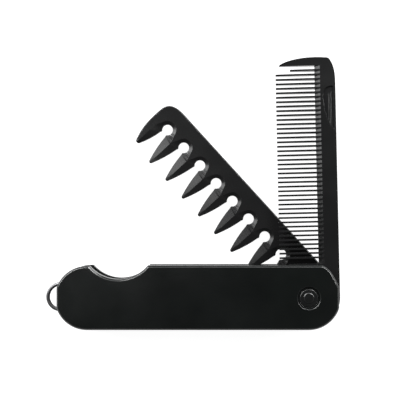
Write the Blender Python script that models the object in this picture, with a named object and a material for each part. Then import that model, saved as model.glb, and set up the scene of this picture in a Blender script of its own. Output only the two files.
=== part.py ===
"""A folding pocket comb: two combs on one rivet between two moulded scales, with a wire loop at the tail.

The frame is in metres. X runs along the handle towards the pivot, Y across it, and Z up through the
front scale. The handle lies on the flat face of its back scale at Z = 0, and the origin is in the middle
of that face.
A comb is drawn in its own frame: x from the pivot to its free end, +y towards its teeth, -y its spine.
"""

import math

import bmesh
import bpy
from mathutils import Matrix, Vector
from mathutils.geometry import interpolate_bezier

MM = 0.001
TOUCH = 1e-7

# The handle, seen from the front: a long round-ended bar, trimmed flat at both ends.
HANDLE_LENGTH = 134.0 * MM
HANDLE_RADIUS = 15.2 * MM
END_TRIM = 0.8 * MM
END_CENTRE = HANDLE_LENGTH / 2 + END_TRIM - HANDLE_RADIUS
PIVOT = Vector((END_CENTRE, 0))
TAIL = Vector((-END_CENTRE, 0))
TOP_EDGE = 15.5 * MM
THICKNESS = 14.0 * MM
WALL = 3.2 * MM
RIM = 1.7 * MM
SEAM = 0.3 * MM
OUTER_CHAMFER = 0.8 * MM
SCOOP_CENTRE = Vector((-37.7, 27.2)) * MM
SCOOP_RADIUS = 18.25 * MM

# The combs share one length, one heel and one spine, so that they fold flush with the handle's top edge.
SPINE = 15.4 * MM
HEEL_RADIUS = 13.06 * MM
STEP_ANGLE = math.radians(110)
COMB_REACH = 115.3 * MM
CAVITY_RADIUS = COMB_REACH + 0.5 * MM
SHAFT_RADIUS = 2.4 * MM
RUNNING_GAP = 0.15 * MM
HUB_RADIUS = 7.0 * MM
CLEARANCE = 0.3 * MM

WIDE_OPEN = math.radians(132.35)
WIDE_LOW = 3.7 * MM
WIDE_THICK = 2.8 * MM
EYE_FIRST = 105.2 * MM
EYE_COUNT = 8
EYE_PITCH = 11.67 * MM
EYE_Y = -4.45 * MM
EYE_RADIUS = 2.6 * MM
EYE_CHAMFER = 1.75 * MM
WIDE_TIP_Y = 11.75 * MM
TIP_RADIUS = 0.9 * MM
END_TIP_OFFSET = -0.15 * MM
END_TIP_Y = 9.25 * MM
END_TIP_RADIUS = 1.35 * MM
FLANK_BULGE = 0.4 * MM
FLANK_POINTS = 3
EDGE_HALF = 0.7 * MM
TIP_HALF = 0.54 * MM
CREST_TIP_HALF = 0.62 * MM
RIDGE_SHORT = 0.2 * MM
HEEL_FACET = 1.8 * MM
SPINE_CHAMFER = 0.45 * MM
SPINE_HALF = 0.95 * MM

FINE_OPEN = math.radians(91.3)
FINE_LOW = 7.6 * MM
FINE_THICK = 2.4 * MM
TOOTH_FIRST = 108.8 * MM
TOOTH_COUNT = 43
TOOTH_PITCH = 2.138 * MM
TOOTH_WIDTH = 0.9 * MM
ROOT_Y = -5.65 * MM
ROOT_RUN = 2.45 * MM
FINE_TIP_Y = 13.05 * MM
SHORT_TIP_Y = 6.1 * MM
FINE_HEEL_X = 16.1 * MM
GUARD_X = 110.9 * MM
THIN_START_Y = -2.0 * MM
THIN_TIP_HALF = 0.5 * MM
NICK_DEPTH = 0.5 * MM

# The rivet: a stepped head sunk in the front scale and a plain one sunk in the back scale. Each head sits in
# a counterbore with a deep seat and a shallow step round it.
COUNTERBORE_RADIUS = 5.35 * MM
COUNTERBORE_CHAMFER = 0.2 * MM
STEP_DEPTH = 0.55 * MM
SEAT_RADIUS = 4.6 * MM
SEAT_DEPTH = 1.1 * MM
HEAD_RADIUS = 4.3 * MM
HEAD_EDGE = 0.25 * MM
BACK_HEAD_SINK = 0.2 * MM
LEDGE_SINK = 0.3 * MM
BOSS_SINK = 0.1 * MM
BOSS_RADIUS = 2.5 * MM

WIRE_RADIUS = 0.9 * MM
LOOP_RADIUS = 6.2 * MM
LOOP_X = -66.35 * MM
LOOP_BAR_X = -65.0 * MM
LOOP_BEND = 1.2 * MM
GROOVE_GAP = 0.2 * MM

ARC_STEP = math.radians(4)
LOOP_STEP = math.radians(9)
ROUND_SIDES = 40
SHARP_ANGLE = math.radians(35)

# The handle's bowed corner at the pivot, from its flat end to its top edge: four control points (x, y) in
# mm, and how many points are read from the curve.
HANDLE_CORNER = ((67.0, 4.87), (64.9, 10.2), (61.8, 15.5), (58.2, 15.5)), 9
# Curves of the combs' outlines, given in the same way in a comb's own frame.
WIDE_FREE_CORNER = ((106.0, -15.4), (111.8, -15.2), (114.6, -13.2), (114.75, -8.5)), 12
WIDE_FREE_END = ((114.75, -8.5), (114.95, -3.0), (114.9, 3.0), (112.3, 9.1)), 12
WIDE_HEEL_FLANK = ((19.7, 6.0), (18.6, 10.5), (14.5, 13.06), (8.5, 13.06)), 8
FINE_FREE_CORNER = ((103.5, -15.4), (108.0, -15.4), (111.0, -14.6), (113.2, -13.3)), 8
FINE_FREE_KNEE = ((113.2, -13.3), (114.1, -12.8), (114.6, -12.3), (114.7, -11.4)), 5
FINE_FREE_END = ((114.9, -8.0), (115.2, 0.0), (113.9, 7.0), (111.9, 10.6)), 12
FINE_GUARD_TIP = ((111.9, 10.6), (111.5, 11.3), (110.9, 11.6), (110.6, 11.3)), 4
FINE_HEEL_FLANK = ((16.1, 6.5), (16.1, 10.5), (13.0, 13.06), (7.0, 13.06)), 8
NICK_EDGE = ((80.2, -14.4), (86.0, -10.2), (93.0, -9.0), (98.6, -9.6)), 12
NICK_POINT = ((98.6, -9.6), (100.4, -10.2), (101.4, -12.6), (101.0, -14.4)), 6

BLACK_SATIN = (0.013, 0.014, 0.014, 1)
BLACK_COMB = (0.016, 0.017, 0.017, 1)
BLACK_METAL = (0.020, 0.021, 0.021, 1)
STEEL = (0.20, 0.20, 0.21, 1)


def clear_scene():
    for obj in list(bpy.data.objects):
        bpy.data.objects.remove(obj, do_unlink=True)


def material(name, colour, roughness, metallic=0.0):
    made = bpy.data.materials.new(name)
    made.use_nodes = True
    shader = made.node_tree.nodes["Principled BSDF"]
    shader.inputs["Base Color"].default_value = colour
    shader.inputs["Roughness"].default_value = roughness
    shader.inputs["Metallic"].default_value = metallic
    return made


def arc(centre, radius, start, end, step=ARC_STEP):
    """Points from one angle to the other, both ends included."""
    steps = max(2, math.ceil(abs(end - start) / step))
    angles = (start + (end - start) * i / steps for i in range(steps + 1))
    return [centre + Vector((math.cos(a), math.sin(a))) * radius for a in angles]


def fillet(before, corner, after, radius, step):
    """The arc that rounds the corner between two straight runs."""
    back = (before - corner).normalized()
    ahead = (after - corner).normalized()
    half = back.angle(ahead) / 2
    centre = corner + (back + ahead).normalized() * radius / math.sin(half)
    first = corner + back * radius / math.tan(half) - centre
    last = corner + ahead * radius / math.tan(half) - centre
    turn = math.atan2(first.x * last.y - first.y * last.x, first.dot(last))
    start = math.atan2(first.y, first.x)
    return arc(centre, radius, start, start + turn, step)


def bezier(controls, count):
    """Points along a curve given by its four control points in mm."""
    corners = [Vector((x, y, 0)) * MM for x, y in controls]
    return [point.to_2d() for point in interpolate_bezier(*corners, count)]


def link(name, mesh_or_curve, surface=None):
    obj = bpy.data.objects.new(name, mesh_or_curve)
    bpy.context.scene.collection.objects.link(obj)
    if surface:
        mesh_or_curve.materials.append(surface)
    return obj


def finished_mesh(name, bm):
    bmesh.ops.recalc_face_normals(bm, faces=bm.faces)
    mesh = bpy.data.meshes.new(name)
    bm.to_mesh(mesh)
    bm.free()
    return mesh


def extruded(outline, low, high):
    """A closed prism with this outline between two heights."""
    bm = bmesh.new()
    face = bm.faces.new([bm.verts.new((p.x, p.y, low)) for p in outline])
    top = bmesh.ops.extrude_face_region(bm, geom=[face])["geom"]
    verts = [item for item in top if isinstance(item, bmesh.types.BMVert)]
    bmesh.ops.translate(bm, verts=verts, vec=(0, 0, high - low))
    return bm


def chamfer_rim(bm, height, width):
    """Bevels the rim of the flat face at this height."""
    rim = [edge for edge in bm.edges if all(abs(v.co.z - height) < TOUCH for v in edge.verts)]
    bmesh.ops.bevel(
        bm, geom=rim, offset=width, segments=1, profile=0.5, affect="EDGES", material=-1
    )


def turned(name, profile):
    """A round body from (radius, height) points that start and end on the axis."""
    bm = bmesh.new()
    points = [bm.verts.new((radius, 0, height)) for radius, height in profile]
    edges = [bm.edges.new(pair) for pair in zip(points, points[1:])]
    bmesh.ops.spin(
        bm, geom=points + edges, cent=(0, 0, 0), axis=(0, 0, 1),
        angle=2 * math.pi, steps=ROUND_SIDES, use_merge=True,
    )
    bmesh.ops.remove_doubles(bm, verts=bm.verts, dist=TOUCH)
    return finished_mesh(name, bm)


def disc(name, radius, low, high):
    return turned(name, [(0, low), (radius, low), (radius, high), (0, high)])


def counterbore_cutter(name, face, out):
    """The cutter of a stepped counterbore, whose rim it chamfers. out is 1 in the top face, -1 below."""
    wide = COUNTERBORE_RADIUS + COUNTERBORE_CHAMFER + WALL
    seat = face - out * SEAT_DEPTH
    step = face - out * STEP_DEPTH
    outside = face + out * WALL
    profile = [
        (0, seat),
        (SEAT_RADIUS, seat),
        (SEAT_RADIUS, step),
        (COUNTERBORE_RADIUS, step),
        (COUNTERBORE_RADIUS, face - out * COUNTERBORE_CHAMFER),
        (wide, outside),
        (0, outside),
    ]
    return turned(name, profile)


def helper(name, mesh):
    """A cutter or a piece to join on, left out of renders."""
    obj = link(name, mesh)
    obj.hide_render = True
    obj.display_type = "WIRE"
    return obj


def boolean(obj, other, operation):
    modifier = obj.modifiers.new(other.name, "BOOLEAN")
    modifier.operation = operation
    modifier.object = other


def shade(obj):
    obj.data.shade_smooth()
    obj.data.set_sharp_from_angle(angle=SHARP_ANGLE)


def put_on_pivot(obj, angle=0):
    """Sets an object's origin on the pivot's axis, turned by this angle."""
    obj.matrix_world = Matrix.Translation((PIVOT.x, PIVOT.y, 0)) @ Matrix.Rotation(angle, 4, "Z")


def scale_outline():
    """The handle's outline from the front, anticlockwise from the pivot end of its bottom edge."""
    trim = math.acos(1 - END_TRIM / HANDLE_RADIUS)
    scoop_right = math.asin((TOP_EDGE - SCOOP_CENTRE.y) / SCOOP_RADIUS)
    scoop_left = math.asin((HANDLE_RADIUS - SCOOP_CENTRE.y) / SCOOP_RADIUS)
    points = arc(PIVOT, HANDLE_RADIUS, -math.pi / 2, -trim)
    points += bezier(*HANDLE_CORNER)
    points += arc(SCOOP_CENTRE, SCOOP_RADIUS, scoop_right, -math.pi - scoop_left)
    points += arc(TAIL, HANDLE_RADIUS, math.pi / 2, math.pi - trim)
    points += arc(TAIL, HANDLE_RADIUS, math.pi + trim, 1.5 * math.pi)
    return points


def pocket_outline():
    """The space between the scales, open at the top and at the pivot end."""
    inner = HANDLE_RADIUS - RIM
    outside = 2 * HANDLE_RADIUS
    end_angle = -STEP_ANGLE - CLEARANCE / SPINE
    rim_end = Vector((math.cos(end_angle), math.sin(end_angle))) / -math.sin(end_angle)
    across = CAVITY_RADIUS**2 - inner**2 + (2 * END_CENTRE) ** 2
    meet_x = PIVOT.x - across / (4 * END_CENTRE)
    meet_y = -math.sqrt(CAVITY_RADIUS**2 - (meet_x - PIVOT.x) ** 2)
    tail_top = math.pi - math.asin(outside / CAVITY_RADIUS)
    tail_low = math.pi + math.asin(-meet_y / CAVITY_RADIUS)
    points = [PIVOT + rim_end * outside]
    points += [Vector((3 * END_CENTRE, -outside)), Vector((3 * END_CENTRE, outside))]
    points += arc(PIVOT, CAVITY_RADIUS, tail_top, tail_low)
    corner_angle = math.atan2(meet_y, meet_x - TAIL.x) + 2 * math.pi
    points += arc(TAIL, inner, corner_angle, 1.5 * math.pi)[1:]
    points += [PIVOT + rim_end * inner]
    return points


def loop_path():
    """The wire loop's centre line: a half ring outside the tail and a straight bar inside it."""
    centre = Vector((LOOP_X, 0))
    top = Vector((LOOP_BAR_X, LOOP_RADIUS))
    low = Vector((LOOP_BAR_X, -LOOP_RADIUS))
    points = arc(centre, LOOP_RADIUS, math.pi / 2, 1.5 * math.pi, LOOP_STEP)
    points += fillet(points[-1], low, top, LOOP_BEND, 2 * LOOP_STEP)
    points += fillet(low, top, points[0], LOOP_BEND, 2 * LOOP_STEP)
    return points


def wire(name, radius, surface=None):
    curve = bpy.data.curves.new(name, "CURVE")
    curve.dimensions = "3D"
    curve.bevel_depth = radius
    curve.bevel_resolution = 3
    path = loop_path()
    spline = curve.splines.new("POLY")
    spline.points.add(len(path) - 1)
    for point, place in zip(spline.points, path):
        point.co = (place.x, place.y, THICKNESS / 2, 1)
    spline.use_cyclic_u = True
    return link(name, curve, surface)


def groove_cutter():
    """The loop's channel in the tail block, a little wider than its wire, as a mesh for a Boolean."""
    thick = wire("groove_curve", WIRE_RADIUS + GROOVE_GAP)
    bpy.context.view_layer.update()
    graph = bpy.context.evaluated_depsgraph_get()
    mesh = bpy.data.meshes.new_from_object(thick.evaluated_get(graph))
    bpy.data.objects.remove(thick, do_unlink=True)
    bm = bmesh.new()
    bm.from_mesh(mesh)
    bmesh.ops.remove_doubles(bm, verts=bm.verts, dist=TOUCH)
    return helper("groove_cutter", finished_mesh("groove_cutter", bm))


def make_scale(name, front, surface, groove):
    """One half of the handle. The two halves meet at mid thickness, with a seam between them."""
    middle = THICKNESS / 2
    face = THICKNESS if front else 0
    seam = middle + SEAM / 2 if front else middle - SEAM / 2
    floor = THICKNESS - WALL if front else WALL
    bm = extruded(scale_outline(), min(face, seam), max(face, seam))
    chamfer_rim(bm, face, OUTER_CHAMFER)
    scale = link(name, finished_mesh(name, bm), surface)
    past = middle - 2 * SEAM if front else middle + 2 * SEAM
    hollow = extruded(pocket_outline(), min(floor, past), max(floor, past))
    pocket = helper(name + "_pocket", finished_mesh(name + "_pocket", hollow))
    bore_mesh = disc(name + "_bore", SHAFT_RADIUS + RUNNING_GAP, -WALL, WALL + THICKNESS)
    bore = helper(name + "_bore", bore_mesh)
    sink = counterbore_cutter(name + "_sink", face, 1 if front else -1)
    counterbore = helper(name + "_sink", sink)
    put_on_pivot(bore)
    put_on_pivot(counterbore)
    for cutter in (pocket, groove, bore, counterbore):
        boolean(scale, cutter, "DIFFERENCE")
    shade(scale)
    return scale


def make_rivet(surface):
    """A turned rivet: plain sunk head at the back, shaft, and a stepped head in the front counterbore."""
    back_high = SEAT_DEPTH - CLEARANCE
    front_low = THICKNESS - SEAT_DEPTH + CLEARANCE
    ledge = THICKNESS - LEDGE_SINK
    boss_top = THICKNESS - BOSS_SINK
    profile = [
        (0, BACK_HEAD_SINK),
        (HEAD_RADIUS - HEAD_EDGE, BACK_HEAD_SINK),
        (HEAD_RADIUS, BACK_HEAD_SINK + HEAD_EDGE),
        (HEAD_RADIUS, back_high),
        (SHAFT_RADIUS, back_high),
        (SHAFT_RADIUS, front_low),
        (HEAD_RADIUS, front_low),
        (HEAD_RADIUS, ledge - HEAD_EDGE),
        (HEAD_RADIUS - HEAD_EDGE, ledge),
        (BOSS_RADIUS, ledge),
        (BOSS_RADIUS - HEAD_EDGE, boss_top),
        (0, boss_top),
    ]
    rivet = link("pivot_rivet", turned("pivot_rivet", profile), surface)
    put_on_pivot(rivet)
    shade(rivet)


def make_tail_ring(surface):
    wire("tail_ring", WIRE_RADIUS, surface)


def hang_on_pivot(comb, angle, lower_hub, upper_hub):
    """Adds the hub and the bore, and turns the comb to its angle about the rivet."""
    name = comb.name
    hub = helper(name + "_hub", disc(name + "_hub", HUB_RADIUS, lower_hub, upper_hub))
    bore_mesh = disc(name + "_bore", SHAFT_RADIUS + RUNNING_GAP, -WALL, THICKNESS)
    bore = helper(name + "_bore", bore_mesh)
    boolean(comb, hub, "UNION")
    boolean(comb, bore, "DIFFERENCE")
    for obj in (comb, hub, bore):
        put_on_pivot(obj, angle)
    shade(comb)


def heel():
    """From the tooth side round the pivot to the spine: a small round, the stop step and a large round."""
    origin = Vector((0, 0))
    step = 2 * math.pi - STEP_ANGLE
    return arc(origin, HEEL_RADIUS, math.pi / 2, step) + arc(origin, SPINE, step, 1.5 * math.pi)


# The rim of an eye below its centre, as angles from its lowest point in degrees.
EYE_LOWER = (0, 18, 36, 54, 72)
# The round of a tooth's tip, as angles from its side in degrees.
TIP_ROUND = (14, 40, 65, 90)
# Crest of the facets beside a gap's eye, from the level of its centre to the start of the tooth's ridge.
EYE_CREST = [
    # eye angle in degrees, crest x and y from the eye's centre in mm
    (90, 4.60, 0.00),
    (108, 5.10, 0.95),
    (126, 5.42, 1.80),
    (141.7, 5.62, 2.50),
]
SHOULDER = [
    # edge x and y, crest x and y, all from the eye's centre in mm
    (1.52, 2.35, 5.74, 3.00),
    (1.56, 2.72, 5.80, 3.35),
    (1.74, 3.15, 5.835, 3.70),
]


def from_eye(degrees):
    """The direction from an eye's centre, turned by this angle from the spine's side towards +x."""
    angle = math.radians(degrees)
    return Vector((math.sin(angle), -math.cos(angle)))


def tip_round(axis, tip_y, radius, side):
    """The round of a tooth's tip from one side to its end."""
    for degrees in TIP_ROUND:
        angle = math.radians(degrees)
        yield Vector((axis, tip_y)) + Vector((side * math.cos(angle), math.sin(angle))) * radius


def half_gap(end_tooth):
    """(edge, crest) pairs beside the gap centred on x = 0, from its eye to the tooth tip at +x."""
    half = WIDE_THICK / 2
    if end_tooth:
        tip_x, tip_y, tip_radius = EYE_PITCH / 2 + END_TIP_OFFSET, END_TIP_Y, END_TIP_RADIUS
        tip_half, ridge_end_half = EDGE_HALF, half
    else:
        tip_x, tip_y, tip_radius = EYE_PITCH / 2, WIDE_TIP_Y, TIP_RADIUS
        tip_half, ridge_end_half = TIP_HALF, CREST_TIP_HALF
    pairs = []
    for degrees in EYE_LOWER:
        away = from_eye(degrees)
        pairs.append((away * EYE_RADIUS, EDGE_HALF, away * (EYE_RADIUS + EYE_CHAMFER), half))
    for degrees, crest_x, crest_y in EYE_CREST:
        pairs.append((from_eye(degrees) * EYE_RADIUS, EDGE_HALF, Vector((crest_x, crest_y)) * MM, half))
    for edge_x, edge_y, crest_x, crest_y in SHOULDER:
        pairs.append((Vector((edge_x, edge_y)) * MM, EDGE_HALF, Vector((crest_x, crest_y)) * MM, half))
    ridge_start = pairs[-1][2]
    ridge_end = Vector((tip_x, tip_y - EYE_Y - RIDGE_SHORT))
    tips = list(tip_round(tip_x, tip_y - EYE_Y, tip_radius, -1))
    throat = pairs[-1][0]
    for number in range(1, FLANK_POINTS + 1):
        share = number / (FLANK_POINTS + 1)
        bulge = Vector((-4 * FLANK_BULGE * share * (1 - share), 0))
        edge_half = EDGE_HALF + (tip_half - EDGE_HALF) * share
        crest_half = half + (ridge_end_half - half) * share
        crest = ridge_start.lerp(ridge_end, share)
        pairs.append((throat.lerp(tips[0], share) + bulge, edge_half, crest, crest_half))
    for tip in tips:
        pairs.append((tip, tip_half, ridge_end, ridge_end_half))
    return [
        (Vector((e.x, e.y + EYE_Y, e_half)), Vector((c.x, c.y + EYE_Y, c_half)))
        for e, e_half, c, c_half in pairs
    ]


def beside_gap(eye_x, side, end_tooth=False):
    flip = Matrix.Diagonal((side, 1, 1))
    shift = Vector((eye_x, 0, 0))
    return [(flip @ edge + shift, flip @ crest + shift) for edge, crest in half_gap(end_tooth)]


def paired(points, widths, edge_half=SPINE_HALF):
    """(edge, crest) pairs of a run with a chamfer of these widths."""
    pairs = []
    for i, (edge, width) in enumerate(zip(points, widths)):
        before = points[max(i - 1, 0)]
        after = points[min(i + 1, len(points) - 1)]
        along = (after - before).normalized()
        crest = edge + Vector((-along.y, along.x)) * width
        pairs.append((Vector((*edge, edge_half)), Vector((*crest, WIDE_THICK / 2))))
    return pairs


def end_tooth_outside():
    """(edge, crest) pairs up the comb's free end and round its tip. Its outer half stays flat."""
    side = bezier(*WIDE_FREE_END)
    tip_x = EYE_FIRST + EYE_PITCH / 2 + END_TIP_OFFSET
    pairs = []
    for edge, crest in paired(side, [SPINE_CHAMFER] * len(side)):
        rise = (edge.y - side[0].y) / (side[-1].y - side[0].y)
        edge.z = SPINE_HALF + (EDGE_HALF - SPINE_HALF) * rise
        pairs.append((edge, crest))
    ridge_end = Vector((tip_x, END_TIP_Y - RIDGE_SHORT, WIDE_THICK / 2))
    for tip in list(tip_round(tip_x, END_TIP_Y, END_TIP_RADIUS, 1))[:-1]:
        pairs.append((Vector((*tip, EDGE_HALF)), ridge_end))
    return pairs


def wide_comb_pairs():
    """(edge, crest) pairs round the whole wide comb, anticlockwise from the pivot end of its spine."""
    spine = [Vector((0, -SPINE))] + bezier(*WIDE_FREE_CORNER)
    pairs = paired(spine, [SPINE_CHAMFER] * len(spine))[1:-1]
    pairs += end_tooth_outside()
    for number in range(EYE_COUNT):
        eye_x = EYE_FIRST - number * EYE_PITCH
        pairs += reversed(beside_gap(eye_x, 1, end_tooth=number == 0)[1:])
        pairs += beside_gap(eye_x, -1)
    pairs = pairs[: -len(TIP_ROUND) - FLANK_POINTS]
    flank = bezier(*WIDE_HEEL_FLANK)
    widths = [SPINE_CHAMFER + HEEL_FACET * (1 - i / len(flank)) ** 2 for i in range(len(flank))]
    pairs += paired(flank, widths)
    rounds = heel()
    pairs += paired(rounds, [SPINE_CHAMFER] * len(rounds))
    return pairs


def make_wide_comb(surface):
    """Two flat faces, the facets from their crest lines to their edges, and the wall between the edges."""
    half = WIDE_THICK / 2
    bm = bmesh.new()
    crests, edges, low_edges, low_crests = [], [], [], []
    for edge, crest in wide_comb_pairs():
        crests.append(bm.verts.new(crest))
        edges.append(bm.verts.new(edge))
        low_edges.append(bm.verts.new((edge.x, edge.y, -edge.z)))
        low_crests.append(bm.verts.new((crest.x, crest.y, -crest.z)))
    rings = [crests, edges, low_edges, low_crests]
    for outer, inner in zip(rings, rings[1:]):
        for i in range(len(crests)):
            bm.faces.new((outer[i - 1], inner[i - 1], inner[i], outer[i]))
    for ring in (crests, low_crests):
        flat = [vert for vert in ring if abs(abs(vert.co.z) - half) < TOUCH]
        bm.faces.new([vert for i, vert in enumerate(flat) if (vert.co - flat[i - 1].co).length > TOUCH])
    bmesh.ops.remove_doubles(bm, verts=bm.verts, dist=TOUCH)
    bmesh.ops.translate(bm, verts=bm.verts, vec=(0, 0, WIDE_LOW + half))
    comb = link("wide_comb", finished_mesh("wide_comb", bm), surface)
    hang_on_pivot(comb, WIDE_OPEN, WALL + CLEARANCE, (THICKNESS - CLEARANCE) / 2)


def fine_comb_outline():
    """The fine comb before its gaps are cut, anticlockwise from the free end of its spine."""
    points = bezier(*FINE_FREE_CORNER)
    points += bezier(*FINE_FREE_KNEE)[1:]
    points += bezier(*FINE_FREE_END)
    points += bezier(*FINE_GUARD_TIP)[1:]
    short_x = TOOTH_FIRST - TOOTH_PITCH / 2
    between = (GUARD_X + TOOTH_FIRST) / 2
    heel_gap = FINE_HEEL_X + 1 * MM
    flank = bezier(*FINE_HEEL_FLANK)
    points += [Vector((between, points[-1].y)), Vector((between, SHORT_TIP_Y))]
    points += [Vector((short_x, SHORT_TIP_Y)), Vector((short_x, FINE_TIP_Y))]
    points += [Vector((heel_gap, FINE_TIP_Y)), Vector((heel_gap, flank[0].y))]
    return points + flank + heel()


def gap_cutter():
    """The slots between the fine teeth, each with a slanted run-out that is deepest at mid thickness."""
    half = FINE_THICK / 2
    middle = FINE_LOW + half
    gap = TOOTH_PITCH - TOOTH_WIDTH
    slots = [(TOOTH_FIRST - (i + 0.5) * TOOTH_PITCH, gap) for i in range(TOOTH_COUNT - 1)]
    first_edge = TOOTH_FIRST + TOOTH_WIDTH / 2
    last_edge = TOOTH_FIRST - (TOOTH_COUNT - 1) * TOOTH_PITCH - TOOTH_WIDTH / 2
    slots.append(((first_edge + GUARD_X) / 2, GUARD_X - first_edge))
    slots.append(((last_edge + FINE_HEEL_X) / 2, last_edge - FINE_HEEL_X))
    over = 1.5
    far = SPINE
    section = [
        (far, -half * over),
        (far, half * over),
        (ROOT_Y - ROOT_RUN * over, half * over),
        (ROOT_Y, 0),
        (ROOT_Y - ROOT_RUN * over, -half * over),
    ]
    bm = bmesh.new()
    for centre, width in slots:
        corners = [bm.verts.new((centre - width / 2, y, middle + z)) for y, z in section]
        face = bm.faces.new(corners)
        moved = bmesh.ops.extrude_face_region(bm, geom=[face])["geom"]
        verts = [item for item in moved if isinstance(item, bmesh.types.BMVert)]
        bmesh.ops.translate(bm, verts=verts, vec=(width, 0, 0))
    return helper("gap_cutter", finished_mesh("gap_cutter", bm))


def thinning_cutter():
    """Two wedges that thin the fine teeth towards their tips, one on each face."""
    half = FINE_THICK / 2
    middle = FINE_LOW + half
    far = FINE_TIP_Y + 2 * MM
    slope = (half - THIN_TIP_HALF) / (FINE_TIP_Y - THIN_START_Y)
    bm = bmesh.new()
    for side in (1, -1):
        section = [
            (THIN_START_Y, half),
            (far, half - slope * (far - THIN_START_Y)),
            (far, 2 * half),
            (THIN_START_Y, 2 * half),
        ]
        start = FINE_HEEL_X + 0.5 * MM
        corners = [bm.verts.new((start, y, middle + side * z)) for y, z in section]
        face = bm.faces.new(corners)
        moved = bmesh.ops.extrude_face_region(bm, geom=[face])["geom"]
        verts = [item for item in moved if isinstance(item, bmesh.types.BMVert)]
        bmesh.ops.translate(bm, verts=verts, vec=(COMB_REACH, 0, 0))
    return helper("thinning_cutter", finished_mesh("thinning_cutter", bm))


def nick_cutter():
    """The leaf-shaped finger nick in the front face near the free end of the spine."""
    top = FINE_LOW + FINE_THICK
    outline = bezier(*NICK_EDGE) + bezier(*NICK_POINT)[1:]
    leaf = extruded(outline, top - NICK_DEPTH, top + WALL)
    return helper("nick_cutter", finished_mesh("nick_cutter", leaf))


def make_fine_comb(surface):
    bm = extruded(fine_comb_outline(), FINE_LOW, FINE_LOW + FINE_THICK)
    comb = link("fine_comb", finished_mesh("fine_comb", bm), surface)
    for cutter in (thinning_cutter(), gap_cutter(), nick_cutter()):
        boolean(comb, cutter, "DIFFERENCE")
        put_on_pivot(cutter, FINE_OPEN)
    hang_on_pivot(comb, FINE_OPEN, (THICKNESS + CLEARANCE) / 2, THICKNESS - WALL - CLEARANCE)


clear_scene()
satin = material("handle_plastic", BLACK_SATIN, 0.42)
comb_plastic = material("comb_plastic", BLACK_COMB, 0.38)
rivet_metal = material("rivet_metal", BLACK_METAL, 0.35, 0.6)
steel = material("ring_steel", STEEL, 0.3, 1.0)
groove = groove_cutter()
make_scale("back_scale", False, satin, groove)
make_scale("front_scale", True, satin.copy(), groove)
make_rivet(rivet_metal)
make_tail_ring(steel)
make_wide_comb(comb_plastic)
make_fine_comb(comb_plastic.copy())
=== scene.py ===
# %% [markdown]
# A folding pocket comb. Two black combs, one fine and one coarse, turn on a rivet between the two halves of
# a moulded handle, and a steel wire loop at its tail takes a lanyard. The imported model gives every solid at
# its real size in metres, lying on the back of its handle. This script rounds its edges, gives it its
# finishes and sets up the portrait. Nothing is moved: every piece here is made where its solid lies.

# %% Load the frame
import math

import bmesh
import bpy
from mathutils import Matrix, Quaternion, Vector


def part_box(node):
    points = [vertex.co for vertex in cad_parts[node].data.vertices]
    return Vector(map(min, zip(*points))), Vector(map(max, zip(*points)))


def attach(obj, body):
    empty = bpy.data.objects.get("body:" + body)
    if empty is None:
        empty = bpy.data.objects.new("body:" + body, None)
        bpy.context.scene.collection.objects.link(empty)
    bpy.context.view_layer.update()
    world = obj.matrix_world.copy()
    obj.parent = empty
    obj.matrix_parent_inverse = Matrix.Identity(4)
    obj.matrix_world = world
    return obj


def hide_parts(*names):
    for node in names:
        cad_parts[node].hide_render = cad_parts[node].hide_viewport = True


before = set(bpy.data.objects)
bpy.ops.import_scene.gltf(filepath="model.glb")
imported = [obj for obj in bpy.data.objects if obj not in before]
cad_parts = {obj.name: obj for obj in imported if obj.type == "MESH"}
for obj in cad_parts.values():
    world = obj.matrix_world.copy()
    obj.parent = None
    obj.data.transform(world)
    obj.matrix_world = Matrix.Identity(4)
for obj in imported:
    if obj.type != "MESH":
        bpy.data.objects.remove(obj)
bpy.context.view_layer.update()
MM = 0.001


# %% [markdown]
# The photograph was taken from straight above, from about 31 cm over the handle. The picture's middle isn't
# where the lens points: the far scale of the handle shows above the near one in its thumb scoop, and that
# puts the lens a little right of the middle and below it. A camera that looks straight down and shifts its
# picture, as a view camera does, keeps the handle's sides parallel. Tilting it would make them converge.

# %% Camera
PICTURE_PIXELS = 400
PICTURE_WIDTH = 189 * MM
FRONT_FACE = 14 * MM
LENS_PIXEL = Vector((220, 228))
LENS_PLACE = Vector((10.5, 33.2, 325)) * MM
SENSOR_MM = 36
NEAREST = 10 * MM

camera = bpy.data.objects.new("camera", bpy.data.cameras.new("camera"))
bpy.context.scene.collection.objects.link(camera)
camera.location = LENS_PLACE
camera.data.sensor_width = SENSOR_MM
camera.data.lens = SENSOR_MM * (LENS_PLACE.z - FRONT_FACE) / PICTURE_WIDTH
camera.data.shift_x = 0.5 - LENS_PIXEL.x / PICTURE_PIXELS
camera.data.shift_y = LENS_PIXEL.y / PICTURE_PIXELS - 0.5
camera.data.clip_start = NEAREST
bpy.context.scene.camera = camera
print(f"lens {camera.data.lens:.1f} mm, shift {camera.data.shift_x:.3f}, {camera.data.shift_y:.3f}")

# %% [markdown]
# The floor is a white light table. Lit from below as well as from above, it swallows the shadows, as in a
# catalogue picture. Its paint is grey, because its glow makes most of its white, and it is small, so that
# little of its light reaches the chamfers of the handle.

# %% Light table
TABLE_SIZE = 0.4
TABLE_GREY = 0.15
TABLE_ROUGHNESS = 0.7
TABLE_GLOW = 0.96
WHITE = (1, 1, 1, 1)


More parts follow.
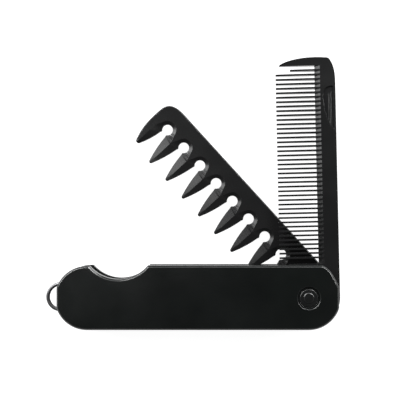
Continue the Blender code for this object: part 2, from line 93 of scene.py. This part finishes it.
def light_table():
    bm = bmesh.new()
    bmesh.ops.create_grid(bm, x_segments=1, y_segments=1, size=TABLE_SIZE / 2)
    mesh = bpy.data.meshes.new("light_table")
    bm.to_mesh(mesh)
    bm.free()
    table = bpy.data.objects.new("light_table", mesh)
    bpy.context.scene.collection.objects.link(table)
    paint = bpy.data.materials.new("white_acrylic")
    paint.use_nodes = True
    shader = paint.node_tree.nodes["Principled BSDF"]
    shader.inputs["Base Color"].default_value = (TABLE_GREY, TABLE_GREY, TABLE_GREY, 1)
    shader.inputs["Roughness"].default_value = TABLE_ROUGHNESS
    shader.inputs["Emission Color"].default_value = WHITE
    shader.inputs["Emission Strength"].default_value = TABLE_GLOW
    mesh.materials.append(paint)


light_table()
print(f"light table {TABLE_SIZE} m wide")

# %% [markdown]
# A black thing on white is lit from its sides. A lamp over the camera would turn every flat face grey, so
# the softboxes stand round the far and the left side. Seen from the camera, flat faces then stay black, and
# only edges and facets that lean towards a softbox shine. The big left one is for the facets at the coarse
# comb's free end. The narrow panel beside it is turned by 45 degrees, so that it lies along the line that
# the facets of the other teeth reflect, and out of the line that the comb's flat body reflects. The far one
# and the two bright strips beside it stand low, and draw the lines of light along the rounded edges that
# face them: those of the handle, the rivet and the round eyes.

# %% Softboxes
MIDDLE = (0.0, 0.045, 0.0)
SOFTBOXES = (      # name, place, aim, width and height in metres, watts, degrees turned about the aim
    ("left_softbox", (-0.29, 0.18, 0.385), MIDDLE, 0.20, 0.32, 0.80, 0),
    ("facet_panel", (-0.12, 0.085, 0.385), (-0.12, 0.085, 0), 0.17, 0.05, 0.065, -45),
    ("far_softbox", (0.05, 0.60, 0.42), MIDDLE, 0.90, 0.30, 4, 0),
    ("far_left_strip", (-0.58, 0.54, 0.34), MIDDLE, 0.88, 0.24, 20, 0),
    ("far_right_strip", (0.60, 0.54, 0.34), MIDDLE, 0.88, 0.24, 20, 0),
)


def softbox(name, place, target, width, height, watts, turned_by):
    lamp = bpy.data.lights.new(name, "AREA")
    lamp.shape = "RECTANGLE"
    lamp.size = width
    lamp.size_y = height
    lamp.energy = watts
    box = bpy.data.objects.new(name, lamp)
    box.location = place
    aim = (Vector(target) - Vector(place)).to_track_quat("-Z", "Y")
    box.rotation_euler = (aim @ Quaternion((0, 0, 1), math.radians(turned_by))).to_euler()
    bpy.context.scene.collection.objects.link(box)


for row in SOFTBOXES:
    softbox(*row)

# %% [markdown]
# The sky is the studio's white wall. The camera sees it white, but it casts only a dim light, which gives
# the flat black faces a part of the little grey that they have. A Light Path node tells the two apart.

# %% Sky
SKY_SEEN = 1.0
SKY_CAST = 0.06


def sky():
    world = bpy.data.worlds.new("sky")
    world.use_nodes = True
    nodes, links = world.node_tree.nodes, world.node_tree.links
    background = nodes["Background"]
    background.inputs["Color"].default_value = WHITE
    ray = nodes.new("ShaderNodeLightPath")
    strength = nodes.new("ShaderNodeMapRange")
    strength.inputs["To Min"].default_value = SKY_CAST
    strength.inputs["To Max"].default_value = SKY_SEEN
    links.new(ray.outputs["Is Camera Ray"], strength.inputs["Value"])
    links.new(strength.outputs["Result"], background.inputs["Strength"])
    return world


bpy.context.scene.world = sky()
bpy.context.scene.view_settings.view_transform = "Standard"
print("sky casts", SKY_CAST, "and shows as", SKY_SEEN)

# %% [markdown]
# Moulded plastic is never one flat colour. The steel mould's spark-eroded skin leaves a fine grain, the
# melt's flow leaves faint cloudy tones, and handling polishes some places more than others. The handle and
# the combs have this with a different grain, and the metals have cloudy smudges, so it is one shader group
# that each material uses with its own values.

# %% Moulded skin, as a shader group
SKIN_NOISES = (    # output, input that sizes it, detail, shift that makes it unlike the others
    ("Grain", "Grain Scale", 3, 0),
    ("Cloud", "Cloud Scale", 4, 0),
    ("Polish", "Cloud Scale", 2, 7),
)


def shader_group(name, inputs, outputs):
    group = bpy.data.node_groups.new(name, "ShaderNodeTree")
    for socket, value in inputs.items():
        item = group.interface.new_socket(socket, in_out="INPUT", socket_type="NodeSocketFloat")
        item.default_value = value
    for socket in outputs:
        group.interface.new_socket(socket, in_out="OUTPUT", socket_type="NodeSocketFloat")
    return group, group.nodes.new("NodeGroupInput"), group.nodes.new("NodeGroupOutput")


def moulded_skin():
    group, given, made = shader_group("moulded_skin", {"Grain Scale": 5000, "Cloud Scale": 40},
                                      [output for output, *_ in SKIN_NOISES])
    place = group.nodes.new("ShaderNodeTexCoord").outputs["Object"]
    for output, scale, detail, offset in SKIN_NOISES:
        shift = group.nodes.new("ShaderNodeMapping")
        shift.inputs["Location"].default_value = (offset, offset, offset)
        noise = group.nodes.new("ShaderNodeTexNoise")
        noise.inputs["Detail"].default_value = detail
        group.links.new(place, shift.inputs["Vector"])
        group.links.new(shift.outputs["Vector"], noise.inputs["Vector"])
        group.links.new(given.outputs[scale], noise.inputs["Scale"])
        group.links.new(noise.outputs["Fac"], made.inputs[output])
    return group


skin_group = moulded_skin()
print("group", skin_group.name, "puts out", [output for output, *_ in SKIN_NOISES])

# %% [markdown]
# Edges are where black plastic shows that it has been carried in a pocket: they are rubbed smoother and a
# shade greyer than the faces, more in some stretches than in others. That grey is partly wear and partly a
# painted highlight along the rounded edges. The rounded edges made further down carry a value of 1 in an
# attribute named edge, and the faces carry 0. This group makes that value uneven with noise, which lowers it
# to no less than the least value given below.

# %% Rubbed edges with a painted edge highlight, as a shader group
PATCH_DETAIL = 3
# A stretch that is rubbed more is also painted lighter there, as a highlight.
PATCHES_FROM = 0.35      # noise at which a stretch is rubbed least
PATCHES_TO = 0.65        # noise at which it is rubbed fully
LEAST_RUB_AND_SHEEN = 0.6


def rubbed_edge_and_sheen():
    group, given, made = shader_group("rubbed_edge_and_sheen", {"Edge": 0, "Patch Scale": 300}, ["Rub"])
    place = group.nodes.new("ShaderNodeTexCoord").outputs["Object"]
    noise = group.nodes.new("ShaderNodeTexNoise")
    noise.inputs["Detail"].default_value = PATCH_DETAIL
    patches = group.nodes.new("ShaderNodeMapRange")
    patches.inputs["From Min"].default_value = PATCHES_FROM
    patches.inputs["From Max"].default_value = PATCHES_TO
    patches.inputs["To Min"].default_value = LEAST_RUB_AND_SHEEN
    rub_and_sheen = group.nodes.new("ShaderNodeMath")
    rub_and_sheen.operation = "MULTIPLY"
    group.links.new(place, noise.inputs["Vector"])
    group.links.new(given.outputs["Patch Scale"], noise.inputs["Scale"])
    group.links.new(noise.outputs["Fac"], patches.inputs["Value"])
    group.links.new(patches.outputs["Result"], rub_and_sheen.inputs[0])
    group.links.new(given.outputs["Edge"], rub_and_sheen.inputs[1])
    group.links.new(rub_and_sheen.outputs["Value"], made.inputs["Rub"])
    return group


rub_and_sheen_group = rubbed_edge_and_sheen()
print("group", rub_and_sheen_group.name, "takes", [item.name for item in rub_and_sheen_group.interface.items_tree
                                         if item.in_out == "INPUT"])

# %% [markdown]
# The plastics and the metals further down all want the same few things of a material: a group with its own
# values, a colour that runs to another one by a mask, a noise stretched to a range, the mask of the rubbed
# edges that also carry a painted highlight, and a relief too fine to model, which a Bump node adds. Each of
# these is a short function.

# %% Helpers for materials
NOISE_LOW = 0.3       # most of a noise lies between these two
NOISE_HIGH = 0.7


def new_material(name):
    material = bpy.data.materials.new(name)
    material.use_nodes = True
    return material, material.node_tree.nodes["Principled BSDF"]


def add_group(material, group, **values):
    node = material.node_tree.nodes.new("ShaderNodeGroup")
    node.node_tree = group
    for socket, value in values.items():
        node.inputs[socket.replace("_", " ")].default_value = value
    return node


def mixed_colour(material, first, second, mask):
    """A colour from first, which can be another node's output, to second, as the mask goes from 0 to 1."""
    mix = material.node_tree.nodes.new("ShaderNodeMix")
    mix.data_type = "RGBA"
    if isinstance(first, tuple):
        mix.inputs["A"].default_value = (*first, 1)
    else:
        material.node_tree.links.new(first, mix.inputs["A"])
    mix.inputs["B"].default_value = (*second, 1)
    material.node_tree.links.new(mask, mix.inputs["Factor"])
    return mix.outputs["Result"]


def ranged(material, noise, low, high):
    """The middle part of a noise, stretched to run from low to high."""
    node = material.node_tree.nodes.new("ShaderNodeMapRange")
    node.inputs["From Min"].default_value = NOISE_LOW
    node.inputs["From Max"].default_value = NOISE_HIGH
    node.inputs["To Min"].default_value = low
    node.inputs["To Max"].default_value = high
    material.node_tree.links.new(noise, node.inputs["Value"])
    return node.outputs["Result"]


def rubbed_and_sheen_stretches(material, patch_scale):
    """The mask of the rubbed edges, which also places the highlight that is painted along them."""
    edge = material.node_tree.nodes.new("ShaderNodeAttribute")
    edge.attribute_name = "edge"
    rub_and_sheen = add_group(material, rub_and_sheen_group, Patch_Scale=patch_scale)
    material.node_tree.links.new(edge.outputs["Fac"], rub_and_sheen.inputs["Edge"])
    return rub_and_sheen.outputs["Rub"]


def add_relief(material, height, depth, strength):
    bump = material.node_tree.nodes.new("ShaderNodeBump")
    bump.inputs["Distance"].default_value = depth
    bump.inputs["Strength"].default_value = strength
    material.node_tree.links.new(height, bump.inputs["Height"])
    shader = material.node_tree.nodes["Principled BSDF"]
    material.node_tree.links.new(bump.outputs["Normal"], shader.inputs["Normal"])


# %% [markdown]
# Both plastics are a Principled BSDF with the two groups in front of it. The handle's satin has a coarser
# grain and a faint green cast, as the photograph shows. The grain of the combs is finer and shallower,
# because they slide through hair, and their black is a shade more neutral. Their edges are painted greyer,
# partly as wear and partly as a painted highlight.

# %% Black plastics
PLASTIC_CLOUDS = 45
PLASTIC_PATCHES = 260
POLISH_SPREAD = 0.04       # how far the roughness strays both ways
RUB_ROUGHNESS = -0.02      # what a full rub adds to the roughness
GRAIN_STRENGTH = 0.6


def black_plastic(name, dark, light, rubbed_and_sheen, roughness, grain_scale, grain_depth):
    material, shader = new_material(name)
    nodes, links = material.node_tree.nodes, material.node_tree.links
    skin = add_group(material, skin_group, Grain_Scale=grain_scale, Cloud_Scale=PLASTIC_CLOUDS)
    rub_and_sheen = rubbed_and_sheen_stretches(material, PLASTIC_PATCHES)
    tone = mixed_colour(material, dark, light, ranged(material, skin.outputs["Cloud"], 0, 1))
    # The edges get a lighter colour: partly worn grey, partly a painted highlight.
    links.new(mixed_colour(material, tone, rubbed_and_sheen, rub_and_sheen), shader.inputs["Base Color"])
    polish = ranged(material, skin.outputs["Polish"], roughness - POLISH_SPREAD, roughness + POLISH_SPREAD)
    smoother = nodes.new("ShaderNodeMath")
    smoother.operation = "MULTIPLY_ADD"
    smoother.inputs[1].default_value = RUB_ROUGHNESS
    links.new(rub_and_sheen, smoother.inputs[0])
    links.new(polish, smoother.inputs[2])
    links.new(smoother.outputs["Value"], shader.inputs["Roughness"])
    add_relief(material, skin.outputs["Grain"], grain_depth, GRAIN_STRENGTH)
    return material


# The edge colour given below is partly worn grey and partly a painted highlight.
handle_satin = black_plastic("handle_satin", dark=(0.0011, 0.0015, 0.0014), light=(0.0021, 0.0027, 0.0025),
                             rubbed_and_sheen=(0.020, 0.021, 0.021), roughness=0.22, grain_scale=5200,
                             grain_depth=0.006 * MM)
comb_smooth = black_plastic("comb_smooth", dark=(0.0034, 0.0035, 0.0036), light=(0.0050, 0.0051, 0.0052),
                            rubbed_and_sheen=(0.018, 0.0185, 0.0185), roughness=0.22, grain_scale=7500,
                            grain_depth=0.003 * MM)
print("plastics:", handle_satin.name, comb_smooth.name)

# %% [markdown]
# A moulded or machined edge is never knife-sharp. A radius of one or two tenths of a millimetre is too
# small to see as a shape, but it catches the light in a bright line, and that line is most of what the
# photograph shows of this handle. So the loose triangles of each scale and comb are copied and merged into
# whole faces, and the ridges between these are rounded by the bevel operator in a few small steps.
# Inner corners stay as they are. One call of the operator uses one radius, and shrinks it for all of its
# edges to what the shortest of them can take. So where a piece has bold edges and fine ones, each kind is
# rounded by a call of its own, picked out by its place.

# %% Rounded copies of the solids
MERGE = 2e-6
FLAT = math.radians(0.5)
BEVEL_STEPS = 3


def merged_copy(node):
    """The solid's triangles as whole faces. The solid itself isn't changed."""
    bm = bmesh.new()
    bm.from_mesh(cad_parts[node].data)
    triangles = len(bm.faces)
    bmesh.ops.remove_doubles(bm, verts=bm.verts, dist=MERGE)
    bmesh.ops.dissolve_limit(bm, angle_limit=FLAT, verts=bm.verts, edges=bm.edges)
    print(f"{node}: {triangles} triangles merge into {len(bm.faces)} faces")
    return bm


def round_edges(bm, radius, sharper_than, where=lambda point: True):
    """Rounds ridges sharper than so many degrees, and marks the rounded strips in the edge attribute."""
    sharp = [edge for edge in bm.edges if edge.calc_face_angle_signed(0) > math.radians(sharper_than)
             and all(where(vert.co) for vert in edge.verts)]
    strips = bmesh.ops.bevel(bm, geom=sharp, affect="EDGES", offset=radius, segments=BEVEL_STEPS,
                             profile=0.5, material=-1, clamp_overlap=True)
    faces = set(strips["faces"])
    mark = bm.verts.layers.float.get("edge") or bm.verts.layers.float.new("edge")
    for vert in bm.verts:
        if all(face in faces for face in vert.link_faces):
            vert[mark] = 1.0
    return len(sharp)


# %% [markdown]
# Every piece goes into the scene in the same way. It is shaded smooth, but stays sharp where it turns by
# more than SMOOTH_TO degrees, and weighted normals keep the shading of its flats flat beside the rounded
# strips. It then rides on its body, and where it is the dressed form of a solid, it takes that one's place.

# %% Putting a piece in the scene
SMOOTH_TO = 32


def put_in_scene(name, bm, material, body, node=None, smooth_to=SMOOTH_TO):
    """Makes the bmesh a shown piece. Where a node is given, the piece stands for that solid."""
    mesh = bpy.data.meshes.new(name)
    bm.to_mesh(mesh)
    bm.free()
    mesh.materials.append(material)
    mesh.shade_smooth()
    mesh.set_sharp_from_angle(angle=math.radians(smooth_to))
    piece = bpy.data.objects.new(name, mesh)
    bpy.context.scene.collection.objects.link(piece)
    piece.modifiers.new("flats_stay_flat", "WEIGHTED_NORMAL").keep_sharp = True
    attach(piece, body)
    if node:
        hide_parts(node)
    print(f"{name}: {sum(len(face.vertices) - 2 for face in mesh.polygons)} triangles")


# %% [markdown]
# The two scales are the handle's halves. Their rims are chamfered, and the chamfer's two edges are what
# shows as a double bright line on the left and along the thumb scoop. These get a bold radius. The
# counterbore round the rivet has a much finer chamfer, so it is rounded in its own call.

# %% Scales
RIM_DEPTH = 0.9 * MM
RIM_RADIUS = 0.22 * MM
COUNTERBORE_REACH = 7 * MM
COUNTERBORE_RADIUS = 0.09 * MM
SHARP = 28
rivet_low, rivet_high = (Vector(corner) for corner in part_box("pivot_rivet"))
PIVOT = (rivet_low + rivet_high) / 2


def near_face(face, near_rivet):
    """A test for points just under one of the handle's two faces, near the rivet or away from it."""
    def test(point):
        near = (point.xy - PIVOT.xy).length < COUNTERBORE_REACH
        return abs(point.z - face) < RIM_DEPTH and near == near_rivet

    return test


for node, face in (("back_scale", 0), ("front_scale", FRONT_FACE)):
    scale = merged_copy(node)
    rim = round_edges(scale, RIM_RADIUS, SHARP, near_face(face, near_rivet=False))
    bore = round_edges(scale, COUNTERBORE_RADIUS, SHARP, near_face(face, near_rivet=True))
    print(node, "rounds", rim, "edges of the rim and", bore, "of the counterbore")
    put_in_scene(node + "_moulding", scale, handle_satin, "handle", node)

# %% [markdown]
# The combs are thin, so their radii are smaller. On the coarse comb the crest lines and the ridges of the
# teeth turn by only 10 to 25 degrees, and they are rounded too. The rim of the fine comb's nail nick shows
# as a soft line, so it is rounded first, with more radius.

# %% Combs
COMB_EDGES = (("wide_comb", 0.12 * MM, 10), ("fine_comb", 0.10 * MM, 20))     # node, radius, least degrees
NICK_FLOOR = 9.5 * MM
NICK_MIDDLE = PIVOT.xy + Vector((10.4, 91)) * MM
NICK_REACH = 13 * MM
NICK_RADIUS = 0.24 * MM
NICK_SHARP = 60


def on_nick(point):
    return point.z > NICK_FLOOR - MERGE and (point.xy - NICK_MIDDLE).length < NICK_REACH


for node, radius, sharper_than in COMB_EDGES:
    comb = merged_copy(node)
    if node == "fine_comb":
        print("edges round the nick:", round_edges(comb, NICK_RADIUS, NICK_SHARP, on_nick))
    round_edges(comb, radius, sharper_than)
    put_in_scene(node + "_moulding", comb, comb_smooth, node, node)

# %% [markdown]
# The nick in the fine comb's front face is where a thumbnail opens it. Two low ribs run along its floor, so
# that the nail doesn't slip. Each is a bar with rounded edges, sunk to half its height in the floor. They
# are made along the X axis, as if the comb lay along the handle, and then turned to the comb's angle about
# the rivet.

# %% Ribs in the nail nick
FINE_ANGLE = math.radians(91.3)
RIBS = ((90.6, -12.4, 14.0), (90.4, -13.7, 16.0))     # distance from the rivet, place across, length, in mm
RIB_WIDTH = 0.8 * MM
RIB_HEIGHT = 0.2 * MM
RIB_RADIUS = 0.095 * MM

ribs = bmesh.new()
for from_pivot, sideways, length in RIBS:
    bar = (Matrix.Translation(Vector((from_pivot, sideways, 0)) * MM)
           @ Matrix.Diagonal((length * MM, RIB_WIDTH, RIB_HEIGHT, 1)))
    bmesh.ops.create_cube(ribs, size=1, matrix=bar)
round_edges(ribs, RIB_RADIUS, SHARP)
to_nick = Matrix.Translation((PIVOT.x, PIVOT.y, NICK_FLOOR)) @ Matrix.Rotation(FINE_ANGLE, 4, "Z")
bmesh.ops.transform(ribs, matrix=to_nick, verts=ribs.verts)
put_in_scene("nick_ribs", ribs, comb_smooth, "fine_comb")

# %% [markdown]
# The rivet is turned on a lathe and blackened, and the loop is plain steel wire. Both are smudged in patches.
# Blackened steel reflects like a metal, but darkly, and its blacking wears off along the edges, so they are
# painted paler: partly that wear and partly a painted highlight. Turning leaves fine rings round the rivet's
# axis, which show as a faint glint across the head. They are a wave texture in the distance from the axis, so
# its coordinates start at the pivot.

# %% Metals
BLACKING = (0.006, 0.0065, 0.0065)
# The paler colour of the rivet's edges: worn blacking and a painted highlight.
WORN_BLACKING_AND_SHEEN = (0.04, 0.04, 0.04)
DULL_STEEL = (0.10, 0.10, 0.103)
METAL_CLOUDS = 260
METAL_PATCHES = 420
SMUDGE = (-0.05, 0.07)         # what the smudges add to the roughness, at least and at most
RING_PITCH = 0.09 * MM
RING_DEPTH = 0.004 * MM
RING_STRENGTH = 0.5
RING_DISTORTION = 0.4
WAVE_PITCH = math.pi / 10      # from ring to ring of a wave texture whose scale is 1


def metal(name, colour, roughness, metallic):
    material, shader = new_material(name)
    shader.inputs["Base Color"].default_value = (*colour, 1)
    shader.inputs["Metallic"].default_value = metallic
    skin = add_group(material, skin_group, Cloud_Scale=METAL_CLOUDS)
    smudges = ranged(material, skin.outputs["Cloud"], *(roughness + change for change in SMUDGE))
    material.node_tree.links.new(smudges, shader.inputs["Roughness"])
    return material


# Paints the edges paler, both as worn blacking and as a highlight.
def wear_and_sheen_edges(material, colour, worn_and_sheen):
    shader = material.node_tree.nodes["Principled BSDF"]
    rub_and_sheen = rubbed_and_sheen_stretches(material, METAL_PATCHES)
    material.node_tree.links.new(mixed_colour(material, colour, worn_and_sheen, rub_and_sheen), shader.inputs["Base Color"])


def lathe_rings(material, centre):
    nodes, links = material.node_tree.nodes, material.node_tree.links
    place = nodes.new("ShaderNodeTexCoord")
    from_axis = nodes.new("ShaderNodeMapping")
    from_axis.inputs["Location"].default_value = (-centre.x, -centre.y, 0)
    rings = nodes.new("ShaderNodeTexWave")
    rings.wave_type = "RINGS"
    rings.rings_direction = "Z"
    rings.inputs["Scale"].default_value = WAVE_PITCH / RING_PITCH
    rings.inputs["Distortion"].default_value = RING_DISTORTION
    links.new(place.outputs["Object"], from_axis.inputs["Vector"])
    links.new(from_axis.outputs["Vector"], rings.inputs["Vector"])
    add_relief(material, rings.outputs["Fac"], RING_DEPTH, RING_STRENGTH)


black_steel = metal("black_steel", BLACKING, roughness=0.23, metallic=0.4)
wear_and_sheen_edges(black_steel, BLACKING, WORN_BLACKING_AND_SHEEN)
lathe_rings(black_steel, PIVOT)
wire_steel = metal("wire_steel", DULL_STEEL, roughness=0.42, metallic=1)
print("metals:", black_steel.name, wire_steel.name)

# %% [markdown]
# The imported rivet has 40 sides. Here the same profile is spun again in 96 steps, with every turned corner
# broken by a small radius, so that its arcs of light are round.

# %% Rivet
HEAD_RADIUS = 4.3 * MM
HEAD_EDGE = 0.25 * MM
HEAD_SEAT = 0.8 * MM
SHAFT_RADIUS = 2.4 * MM
BOSS_RADIUS = 2.5 * MM
BOSS_HEIGHT = 0.2 * MM
TURNED_CORNER = 0.07 * MM
RIVET_SIDES = 96


def turned(profile, sides):
    """A closed round body about the Z axis, from (radius, height) points that start and end on it."""
    bm = bmesh.new()
    points = [bm.verts.new((radius, 0, height)) for radius, height in profile]
    edges = [bm.edges.new(pair) for pair in zip(points, points[1:])]
    bmesh.ops.spin(bm, geom=points + edges, cent=(0, 0, 0), axis=(0, 0, 1), angle=2 * math.pi, steps=sides,
                   use_merge=True)
    bmesh.ops.remove_doubles(bm, verts=bm.verts, dist=MERGE)
    bmesh.ops.recalc_face_normals(bm, faces=bm.faces)
    return bm


bottom, top = rivet_low.z, rivet_high.z
back_seat = HEAD_SEAT
front_seat = FRONT_FACE - HEAD_SEAT
ledge = top - BOSS_HEIGHT
rivet = turned([(0, bottom), (HEAD_RADIUS - HEAD_EDGE, bottom), (HEAD_RADIUS, bottom + HEAD_EDGE),
                (HEAD_RADIUS, back_seat), (SHAFT_RADIUS, back_seat), (SHAFT_RADIUS, front_seat),
                (HEAD_RADIUS, front_seat), (HEAD_RADIUS, ledge - HEAD_EDGE), (HEAD_RADIUS - HEAD_EDGE, ledge),
                (BOSS_RADIUS, ledge), (BOSS_RADIUS - HEAD_EDGE, top), (0, top)], RIVET_SIDES)
round_edges(rivet, TURNED_CORNER, SHARP)
bmesh.ops.translate(rivet, verts=rivet.verts, vec=(PIVOT.x, PIVOT.y, 0))
put_in_scene("pivot_rivet_turning", rivet, black_steel, "handle", "pivot_rivet")

# %% [markdown]
# The lanyard loop is bent from one piece of round steel wire. A circle is swept round each bend with the
# spin operator and along each straight with an extrusion, in the order in which a wire bender would work,
# and the last end meets the first inside the handle.

# %% Wire loop
WIRE_RADIUS = 0.9 * MM
WIRE_SIDES = 20
LOOP_RADIUS = 6.2 * MM
LOOP_STEPS = 36
LOOP_X = -66.35 * MM
BAR_X = -65.0 * MM
BEND = 1.2 * MM
BEND_STEPS = 8
MIDDLE_HEIGHT = 7 * MM
WIRE_SMOOTH_TO = 60


def bend_wire(bm, end, centre, degrees, steps):
    """Sweeps the wire's open end round a vertical axis."""
    swept = bmesh.ops.spin(bm, geom=end, cent=(*centre, MIDDLE_HEIGHT), axis=(0, 0, 1),
                           angle=math.radians(degrees), steps=steps)
    return swept["geom_last"]


def push_wire(bm, end, x, y):
    """Pushes the wire's open end straight along."""
    edges = [item for item in end if isinstance(item, bmesh.types.BMEdge)]
    pushed = bmesh.ops.extrude_edge_only(bm, edges=edges)["geom"]
    verts = [item for item in pushed if isinstance(item, bmesh.types.BMVert)]
    bmesh.ops.translate(bm, verts=verts, vec=(x, y, 0))
    far_edges = [item for item in pushed if isinstance(item, bmesh.types.BMEdge)
                 and all(vert in verts for vert in item.verts)]
    return verts + far_edges


loop = bmesh.new()
section = Matrix.Translation((LOOP_X, LOOP_RADIUS, MIDDLE_HEIGHT)) @ Matrix.Rotation(math.radians(90), 4, "Y")
bmesh.ops.create_circle(loop, segments=WIRE_SIDES, radius=WIRE_RADIUS, matrix=section)
end = loop.verts[:] + loop.edges[:]
end = bend_wire(loop, end, (LOOP_X, 0), 180, LOOP_STEPS)
end = push_wire(loop, end, BAR_X - BEND - LOOP_X, 0)
end = bend_wire(loop, end, (BAR_X - BEND, BEND - LOOP_RADIUS), 90, BEND_STEPS)
end = push_wire(loop, end, 0, 2 * (LOOP_RADIUS - BEND))
end = bend_wire(loop, end, (BAR_X - BEND, LOOP_RADIUS - BEND), 90, BEND_STEPS)
push_wire(loop, end, LOOP_X + BEND - BAR_X, 0)
bmesh.ops.remove_doubles(loop, verts=loop.verts, dist=MERGE)
bmesh.ops.recalc_face_normals(loop, faces=loop.faces)
put_in_scene("tail_ring_wire", loop, wire_steel, "handle", "tail_ring", WIRE_SMOOTH_TO)
